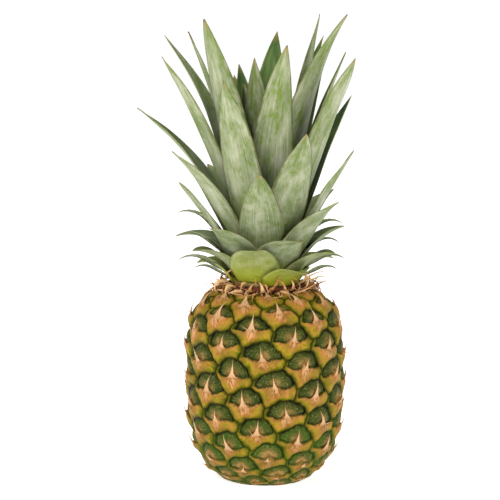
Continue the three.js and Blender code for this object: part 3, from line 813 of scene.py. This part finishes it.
def ribbon(azimuth, r0, z0, length, width, lean, curl, twist, drift, late=1.2):
    steps_along = np.linspace(0, 1, CURVE_PARTS + 1)
    angle = np.radians(lean + curl * steps_along ** late)
    r_line, z_line = bent_line(angle[1:], length, r0, z0)
    r = np.interp(strip_along, steps_along, r_line)
    z = np.interp(strip_along, steps_along, z_line)
    tilt = np.radians(lean + curl * strip_along ** late)
    turn = np.radians(twist) * strip_along
    belly = 0.75 + 0.5 * np.sin(np.pi * np.clip(strip_along * 1.4, 0, 1))
    half = width / 2 * (1 - strip_along ** 1.3) * belly + 0.12
    sideways = strip_side * half * np.cos(turn)
    lift = strip_side * half * np.sin(turn) + 0.3 * half * (strip_side ** 2)
    theta = np.radians(azimuth) + (sideways + drift * strip_along ** 2) / np.maximum(r, 5)
    pushes = [lift + face * HALF_HUSK_THICKNESS for face in (1, -1)]
    sheets = [turned(r + np.cos(tilt) * push, theta, z - np.sin(tilt) * push) for push in pushes]
    return close_rim(sheets, strip_rim)


print("points in one ribbon:", len(ribbon(0, 30, NECK_Z, 20, 3, 60, 90, 0, 0)))

# %% [markdown]
# ### The ring of curls
# Most ribbons follow four habits in turn, with random shares. The few long ones that stand clear of the
# rest were placed one by one. All of them grow out of one uneven ring of broken roots.

# %% Curls all round
RIBBONS, RIBBON_TURN = 124, 137.508
# those that roll up, roll down, stick out and lie sideways: least and further lean, least and further curl,
# how far they drift to either side (0: well to one side), and least length
RIBBON_KINDS = [
    (30, 35, 120, 110, 26, 13),
    (85, 25, -120, -150, 20, 13),
    (65, 35, 70, -40, 14, 10),
    (78, 30, 40, -120, 0, 12),
]
LONG_RADIUS, LONG_TONE = 30.5, 0.8
RING_RADIUS, RING_THICKNESS = 27.6, 2.3
# where round the neck, how far up, length, width, lean, curl, twist, drift
LONG_CURLS = [
    (-66, 7, 32, 3.4, 46, 340, 20, -4),
    (-80, 3, 20, 2.8, 68, 60, 20, -3),
    (46, 4, 26, 3.4, 40, 80, -30, 9),
    (57, 5, 31, 3.6, 36, 70, 30, 7),
    (66, 4, 29, 3.2, 46, 66, 40, 5),
    (77, 3, 25, 2.8, 58, 76, 20, 3),
    (140, 5, 24, 3.0, 42, 70, 30, 5),
    (-150, 5, 25, 3.0, 46, 220, 20, -5),
]
ribbon_luck = random.Random(21)
copies = []
for n in range(RIBBONS):
    a, b, c, d, e, f, g = (ribbon_luck.random() for _ in range(7))
    lean, more_lean, curl, more_curl, sway, length = RIBBON_KINDS[n % len(RIBBON_KINDS)]
    lean, curl, length = lean + more_lean * a, curl + more_curl * b, length + 9 * d
    drift = (c - 0.5) * sway if sway else math.copysign(8 + 12 * g, c - 0.5)
    radius, rise = 26.2 + 4.5 * e, 0.4 + 9.5 * (1 - e) * f * f
    width, twist = 1.8 + 3.4 * g * g, (f - 0.5) * 260
    place = ribbon(n * RIBBON_TURN, radius, NECK_Z + rise, length, width, lean, curl, twist, drift)
    copies.append((place, {"tone": g * 0.55 + 0.45 * a}))
for azimuth, rise, *form in LONG_CURLS:
    copies.append((ribbon(azimuth, LONG_RADIUS, NECK_Z + rise, *form), {"tone": LONG_TONE}))
points, faces, marks = joined(copies, strip_faces)

select_only()
bpy.ops.mesh.primitive_torus_add(
    major_radius=RING_RADIUS, minor_radius=RING_THICKNESS, major_segments=96, minor_segments=10)
ring_points, ring_faces = taken(bpy.context.object)
around = np.arctan2(ring_points[:, 0], -ring_points[:, 1])
swell = 1 + 0.03 * np.sin(around * 23) + 0.025 * np.sin(around * 41 + 1)
ring_points[:, :2] *= swell[:, None]
ring_points[:, 2] += NECK_Z + 2.6 + 0.5 * np.sin(around * 31)
faces += shifted(ring_faces, len(points))
points = np.concatenate([points, ring_points])
# the ring gets tone 0, the darkest: painted shade deep in the neck
marks = {"tone": np.concatenate([marks["tone"], np.zeros(len(ring_points))])}
neck_curls = make_piece("neck_curls", points, faces, marks)
belongs(neck_curls, "dry_bract", "dry_neck_bracts")
print("neck curls:", RIBBONS + len(LONG_CURLS))

# %% [markdown]
# ## Small narrow leaves
# A fringe of small narrow leaves shows between the crown's lower ones, at both sides. Their tips have dried
# and curl down late. The ribbon makes them too, twisted so that each turns its broad side to the eye.

# %% Small narrow leaves
LATE_CURL, SMALL_TWIST, SMALL_AGE = 3.0, 80, 0.3
# round the neck, radius, how far up, length, width, lean, curl
SMALL_LEAVES = [
    (-78, 22, 28, 60, 10.0, 35, 85),
    (-92, 22, 19, 54, 9.0, 44, 90),
    (-74, 22, 10, 52, 9.0, 54, 80),
    (-100, 24, 6, 34, 7.5, 56, 80),
    (80, 20, 35, 46, 9.0, 48, 85),
    (92, 20, 24, 42, 8.0, 52, 95),
    (72, 22, 14, 46, 9.0, 56, 80),
    (86, 24, 8, 34, 7.5, 58, 80),
    (150, 22, 16, 42, 9.0, 48, 90),
    (-160, 22, 20, 44, 9.0, 46, 95),
]
copies = []
for n, (azimuth, radius, rise, length, width, lean, curl) in enumerate(SMALL_LEAVES):
    twist = math.copysign(SMALL_TWIST, azimuth)
    place = ribbon(azimuth, radius, NECK_Z + rise, length, width, lean, curl, twist, 0, late=LATE_CURL)
    copies.append((place, {
        "across": np.tile(strip_side, 2) * 0.8,
        "along": np.tile(strip_along, 2),
        "inner": np.repeat([0.0, 1.0], len(strip_grid)),
        "tone": n / len(SMALL_LEAVES),
        "height": SMALL_AGE,
    }))
small_leaves = make_piece("small_leaves", *joined(copies, strip_faces))
belongs(small_leaves, "leaf")
print("small leaves:", len(SMALL_LEAVES))

# %% [markdown]
# ## The finishes
# The marks on the points say where a mound, a dry middle or the painted shade of a groove is, and noise
# breaks them up as growth and handling do.
#
# ### The rind
# A rind is living skin with dead bracts on it. The mounds are dark olive with tan hearts and pale flecks.
# The bracts go from green at the margin over yellow-green to orange-tan in the middle. Near-black painted
# shade lies in the grooves that part them and under each bract's edge. Fibres fan out from the point of each
# eye.
# Real ones are 0.3 mm wide, and are drawn about 1 mm wide here, because finer ones would be lost at this
# distance.

# %% Rind
# skin under a thin wax: the light on it is broad and weak, so it looks matt and a little damp
rind_skin, tree = new_material("waxy_rind", 0.55, gloss=0.08)
mark = {name: add(tree, "Attribute", out="Fac", attribute_name=name)
        for name in ("fan", "spoke", "tone", "warm", "low", "margin", "heart", "mound", "groove_shade")}
place = add(tree, "TexCoord", out="Object")
fine = add(tree, "TexNoise", {"Vector": place, "Scale": 1 / (1.1 * MM), "Detail": 4})
blotch = add(tree, "TexNoise", {"Vector": place, "Scale": 1 / (7 * MM), "Detail": 3})
fan_place = add(tree, "CombineXYZ", {"X": mark["fan"], "Y": mark["spoke"], "Z": mark["tone"]})
fan_place = add(tree, "Mapping", {"Vector": fan_place, "Scale": (9, 0.22, 50)})
fibre = add(tree, "TexNoise", {"Vector": fan_place, "Scale": 1, "Detail": 4})

# the bracts: drier where the mark, the eye's own tone and the fibres add up
own_tone = add(tree, "Math", {0: mark["tone"], 1: 0.14}, **MULTIPLY)
dryness = add(tree, "Math", {0: mark["warm"], 1: own_tone}, **ADD)
streaks = add(tree, "Math", {0: fibre, 1: 0.47}, **SUBTRACT)
streaks = add(tree, "Math", {0: streaks, 1: 1.9}, **MULTIPLY)
dryness = add(tree, "Math", {0: dryness, 1: streaks}, **ADD)
bract_colour = add(tree, "ValToRGB", {"Fac": dryness}, stops=[
    (0, "#4C5600"), (0.16, "#787400"), (0.34, "#9A8024"), (0.6, "#A2682F"), (1, "#BC8E60")])
dry_flecks = add(tree, "ValToRGB", {"Fac": fine}, stops=[(0.3, 1), (0.4, 0)])
cracks = add(tree, "ValToRGB", {"Fac": fibre}, stops=[(0.36, 1), (0.46, 0)])
dull = add(tree, "ValToRGB", {"Fac": blotch}, stops=[(0.42, 0), (0.66, 0.6)])
dull_low = add(tree, "Math", {0: mark["low"], 1: 0.3}, **MULTIPLY)
dull = add(tree, "Math", {0: dull, 1: dull_low}, **ADD)
patches = add(tree, "Math", {0: blotch, 1: 0.5}, **ADD)
margin_green = paint_over(tree, "#3A4000", (mark["low"], 1, "#4C5C08"))
bract_colour = paint_over(
    tree, bract_colour, (dry_flecks, 0.5, "#5E4A18"), (cracks, mark["warm"], "#6A3214"),
    (dull, 1, "#6A541A"), (mark["margin"], patches, margin_green))

# the mounds: tan at the heart, olive at the rim, and greener low down on the fruit
streaks = add(tree, "Math", {0: fibre, 1: 0.46}, **SUBTRACT)
streaks = add(tree, "Math", {0: streaks, 1: 1.5}, **MULTIPLY)
heart = add(tree, "Math", {0: mark["heart"], 1: streaks}, **ADD)
mound_colour = add(tree, "ValToRGB", {"Fac": heart}, stops=[
    (0, "#263306"), (0.3, "#414819"), (0.62, "#665828"), (1, "#967640")])
at_rim = add(tree, "ValToRGB", {"Fac": heart}, stops=[(0.1, 0.75), (0.55, 0)])
pale_flecks = add(tree, "ValToRGB", {"Fac": fine}, stops=[(0.58, 0), (0.72, 1)])
dark_flecks = add(tree, "ValToRGB", {"Fac": fine}, stops=[(0.28, 1), (0.42, 0)])
mound_colour = paint_over(
    tree, mound_colour, (mark["low"], at_rim, "#40600E"), (pale_flecks, 0.6, "#908E66"),
    (dark_flecks, 0.6, "#141A00"))

# painted shade for the grooves and under each bract's edge: near black, and greener low on the fruit
groove_shade_colour = paint_over(tree, "#0C0D00", (mark["low"], 1, "#26340A"))
skin = paint_over(tree, bract_colour, (mark["mound"], 1, mound_colour), (mark["groove_shade"], 0.92, groove_shade_colour))
wear(rind_skin, skin, add(tree, "Math", {0: fine, 1: fibre}, **ADD), 0.75, rind)

# %% [markdown]
# ### The dry points
# They are dead, sun-dried skin: straw-coloured, browner where they grow out of the bract, and burnt at the
# tip.

# %% Dry points
# dried plant skin: no shine to speak of, with a grain that runs up the fruit
straw, tree = new_material("dry_bract_point", 0.6)
place = add(tree, "TexCoord", out="Object")
place = add(tree, "Mapping", {"Vector": place, "Scale": (1, 1, 0.2)})
grain = add(tree, "TexNoise", {"Vector": place, "Scale": 1 / (0.8 * MM), "Detail": 3})
uneven = add(tree, "Math", {0: grain, 1: 0.5}, **SUBTRACT)
uneven = add(tree, "Math", {0: uneven, 1: 0.5}, **MULTIPLY)
up_the_point = add(tree, "Attribute", out="Fac", attribute_name="along")
up_the_point = add(tree, "Math", {0: up_the_point, 1: uneven}, **ADD)
straw_colour = add(tree, "ValToRGB", {"Fac": up_the_point}, stops=[
    (0, "#A06C3A"), (0.16, "#BA9062"), (0.5, "#C6A074"), (1, "#7A5228")])
wear(straw, straw_colour, grain, 0.2, bract_points, bract_threads)

# %% [markdown]
# ### The leaves
# A crown leaf is dark green under a pale grey bloom of wax scales. The bloom lies thick on the outer face,
# runs in lines along the leaf, and is rubbed off in scratches, so the green shows through. The inner face
# has little of it. The lowest leaves are yellow-green at the root, and edges and tips have dried. The lines
# are about 1 mm apart, wider than on a real leaf, so that they can be made out.

# %% Leaves
# wax bloom over green skin: matt and chalky, with a faint sheen along the bends
leaf_skin, tree = new_material("waxy_leaf", 0.5, gloss=0.25)
mark = {name: add(tree, "Attribute", out="Fac", attribute_name=name)
        for name in ("across", "along", "inner", "tone", "height")}
from_rib = add(tree, "Math", {0: mark["across"]}, operation="ABSOLUTE")
leaf_place = add(tree, "CombineXYZ", {"X": mark["across"], "Y": mark["along"], "Z": mark["tone"]})
# repeats across and along a leaf and from leaf to leaf, then detail and roughness
LEAF_PATTERNS = {
    "lines": ((19, 3, 40), 3, 0.5),
    "bloom": ((1.6, 6, 23), 5, 0.6),
    "scratches": ((5, 22, 17), 6, 0.75),
}
pattern = {}
for name, (scale, detail, roughness) in LEAF_PATTERNS.items():
    scaled = add(tree, "Mapping", {"Vector": leaf_place, "Scale": scale})
    inputs = {"Vector": scaled, "Scale": 1, "Detail": detail, "Roughness": roughness}
    pattern[name] = add(tree, "TexNoise", inputs)
fine_lines = add(tree, "Math", {0: pattern["lines"], 1: 0.38}, **MULTIPLY)
wide_bloom = add(tree, "Math", {0: pattern["bloom"], 1: 0.62}, **MULTIPLY)
cloud = add(tree, "Math", {0: fine_lines, 1: wide_bloom}, **ADD)
outer_colour = add(tree, "ValToRGB", {"Fac": cloud}, stops=[
    (0.34, "#5C6941"), (0.46, "#7E8762"), (0.56, "#959A7A"), (0.7, "#B4B59F")])
inner_colour = add(tree, "ValToRGB", {"Fac": cloud}, stops=[
    (0.36, "#2F4214"), (0.5, "#425C26"), (0.64, "#5E7638")])

# where on a leaf, or on which leaves, each layer lies
LEAF_SHARES = {
    "near_tip": (mark["along"], (0.5, 0), (0.95, 0.09)),
    "midrib": (from_rib, (0, 0.06), (0.12, 0)),
    "thin_bloom": (pattern["bloom"], (0.44, 1), (0.6, 0.15)),
    "grown": (mark["height"], (0.3, 0.35), (0.42, 1)),
    "shaded": (mark["height"], (0.1, 0.3), (0.45, 0)),
    "at_root": (mark["along"], (0, 1), (0.35, 0)),
    "low_leaves": (mark["height"], (0, 1), (0.4, 0.5)),
    "lowest_leaves": (mark["height"], (0.02, 1), (0.13, 0)),
    "toward_root": (mark["along"], (0.1, 0.85), (0.75, 0.35)),
    "edge": (from_rib, (0.9, 0), (0.985, 1)),
    "tip": (mark["along"], (0.93, 0), (1, 1)),
}
share = {name: add(tree, "ValToRGB", {"Fac": source}, stops=stops)
         for name, (source, *stops) in LEAF_SHARES.items()}
worn = add(tree, "Math", {0: pattern["scratches"], 1: share["near_tip"]}, **ADD)
worn = add(tree, "Math", {0: worn, 1: share["midrib"]}, **ADD)
worn = add(tree, "ValToRGB", {"Fac": worn}, stops=[(0.53, 0), (0.59, 1)])
rubbed = add(tree, "Math", {0: worn, 1: share["thin_bloom"]}, **MULTIPLY)
outer_colour = paint_over(tree, outer_colour, (rubbed, 0.8, "#62781E"))
leaf_colour = paint_over(
    tree, outer_colour, (mark["inner"], share["grown"], inner_colour), (share["shaded"], 1, "#566448"),
    (share["at_root"], share["low_leaves"], "#7F8E1C"),
    (share["lowest_leaves"], share["toward_root"], "#98A018"),
    (share["edge"], 0.6, "#8A8040"), (share["tip"], 0.7, "#9A7A48"))
wear(leaf_skin, leaf_colour, pattern["lines"], 0.25, *leaves, small_leaves)

# %% [markdown]
# ### The curls round the neck
# They are thin husk that dried brown, some bleached to tan and some near black. The ring they grow from gets
# the darkest tone, as painted shade deep in the neck. Each has a tone of its own, and stains cloud it.

# %% Neck curls
# dead husk: rough, without any wax left on it
dry_husk, tree = new_material("dry_husk", 0.75, gloss=0.25)
place = add(tree, "TexCoord", out="Object")
stains = add(tree, "TexNoise", {"Vector": place, "Scale": 1 / (2.5 * MM), "Detail": 3})
wrinkles = add(tree, "TexNoise", {"Vector": place, "Scale": 1 / (0.9 * MM), "Detail": 3})
own_tone = add(tree, "Attribute", out="Fac", attribute_name="tone")
own_tone = add(tree, "Math", {0: own_tone, 1: 0.8}, **MULTIPLY)
stains = add(tree, "Math", {0: stains, 1: 0.4}, **MULTIPLY)
bleached = add(tree, "Math", {0: own_tone, 1: stains}, **ADD)
husk_colour = add(tree, "ValToRGB", {"Fac": bleached}, stops=[
    (0.12, "#2A0C06"), (0.32, "#7C4422"), (0.5, "#B27C48"), (0.75, "#DDB27E")])
wear(dry_husk, husk_colour, wrinkles, 0.3, neck_curls)

# %% [markdown]
# ### The stalk, the stem and the floor
# The stalk was cut across its fibres and has dried. The crown's stem is hidden among the leaf roots: pale
# green, and brown at its foot, where the dry bracts lie on it. Both keep their solids, as nothing finer can
# be seen.

# %% The stalk, the stem and the floor
# cut and dried plant fibre: rough and matt, with dark ends of fibres in it
cut_wood, tree = new_material("cut_stalk_fibre", 0.85)
place = add(tree, "TexCoord", out="Object")
grain = add(tree, "TexNoise", {"Vector": place, "Scale": 1 / (1.2 * MM), "Detail": 4})
long_place = add(tree, "Mapping", {"Vector": place, "Scale": (1, 1, 0.3)})
fibre_ends = add(tree, "TexNoise", {"Vector": long_place, "Scale": 1 / (1.2 * MM), "Detail": 4})
wood_colour = add(tree, "ValToRGB", {"Fac": fibre_ends}, stops=[
    (0.3, "#7A5A36"), (0.55, "#B89A68"), (0.75, "#D6C093")])
wear(cut_wood, wood_colour, grain, 0.5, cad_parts["cut_stalk"])

# young green skin that never saw the sun: smooth and pale
STEM_SKIN_Z = (NECK_Z + 4) * MM
pale_stem, tree = new_material("pale_crown_stem", 0.6)
place = add(tree, "TexCoord", out="Object")
mottle = add(tree, "TexNoise", {"Vector": place, "Scale": 1 / (5 * MM), "Detail": 3})
stem_green = add(tree, "ValToRGB", {"Fac": mottle}, stops=[(0.3, "#6F7A1C"), (0.7, "#9A9A38")])
above_foot = add(tree, "SeparateXYZ", {"Vector": place}, out="Z")
above_foot = add(tree, "Math", {0: above_foot, 1: STEM_SKIN_Z}, **SUBTRACT)
stem_colour = paint_over(tree, "#5A3414", (above_foot, 0.2 / MM, stem_green))
wear(pale_stem, stem_colour, mottle, 0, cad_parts["crown_stem"])

# white card, lit a little from behind: it stays pale, and the shadow on it soft
white_floor, tree = new_material("white_floor", 0.9)
shader = tree.nodes["Principled BSDF"]
shader.inputs["Base Color"].default_value = colour("#F4F4F2")
shader.inputs["Emission Color"].default_value = (1, 1, 1, 1)
shader.inputs["Emission Strength"].default_value = 0.7
floor.data.materials.append(white_floor)
